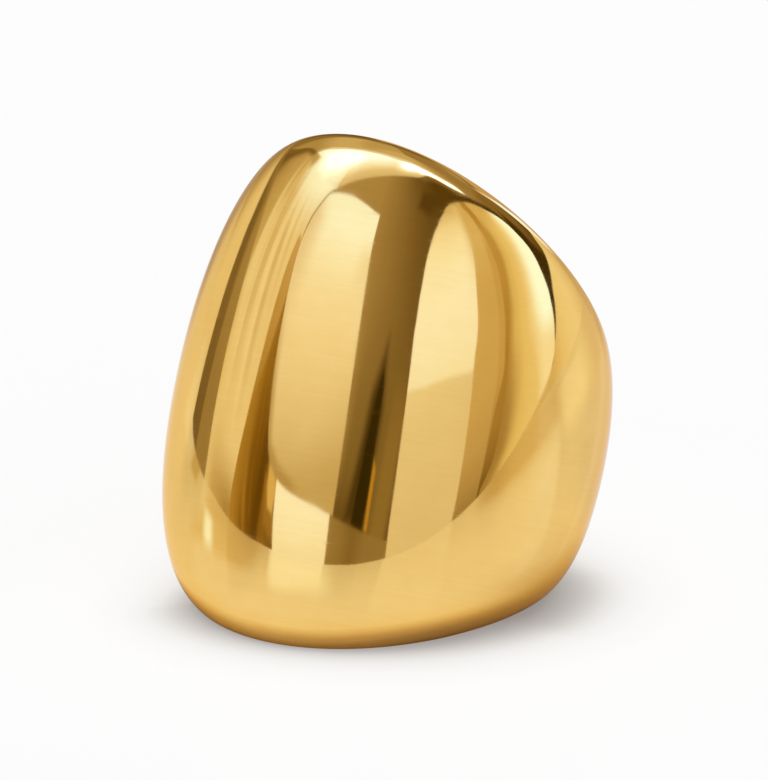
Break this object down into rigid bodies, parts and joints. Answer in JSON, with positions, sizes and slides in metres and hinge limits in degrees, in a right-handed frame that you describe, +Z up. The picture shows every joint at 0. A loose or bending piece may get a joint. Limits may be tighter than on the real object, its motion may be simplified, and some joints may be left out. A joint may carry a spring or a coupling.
{
  "type": "dome ring",
  "caption": "One-piece finger ring with a tall polished dome at the front that tapers to a narrow band at the back, lying on its side.",
  "frame": {"origin": "centre of the bottom of the ring's bounding box, on the surface that the ring rests on", "axes": "+Z up; the dome faces -Y and the narrow back of the band +Y; +X to the right as seen by someone who faces the dome; the finger axis leans back from +Z towards +Y by 20.8 degrees, as the ring rests"},
  "size_m": [0.0256, 0.0258, 0.0272],
  "materials": {
    "gold": "mirror-polished warm yellow gold plating with faint polishing hairlines"
  },
  "bodies": {
    "root": {"ring": "gold"}
  },
  "joints": []
}
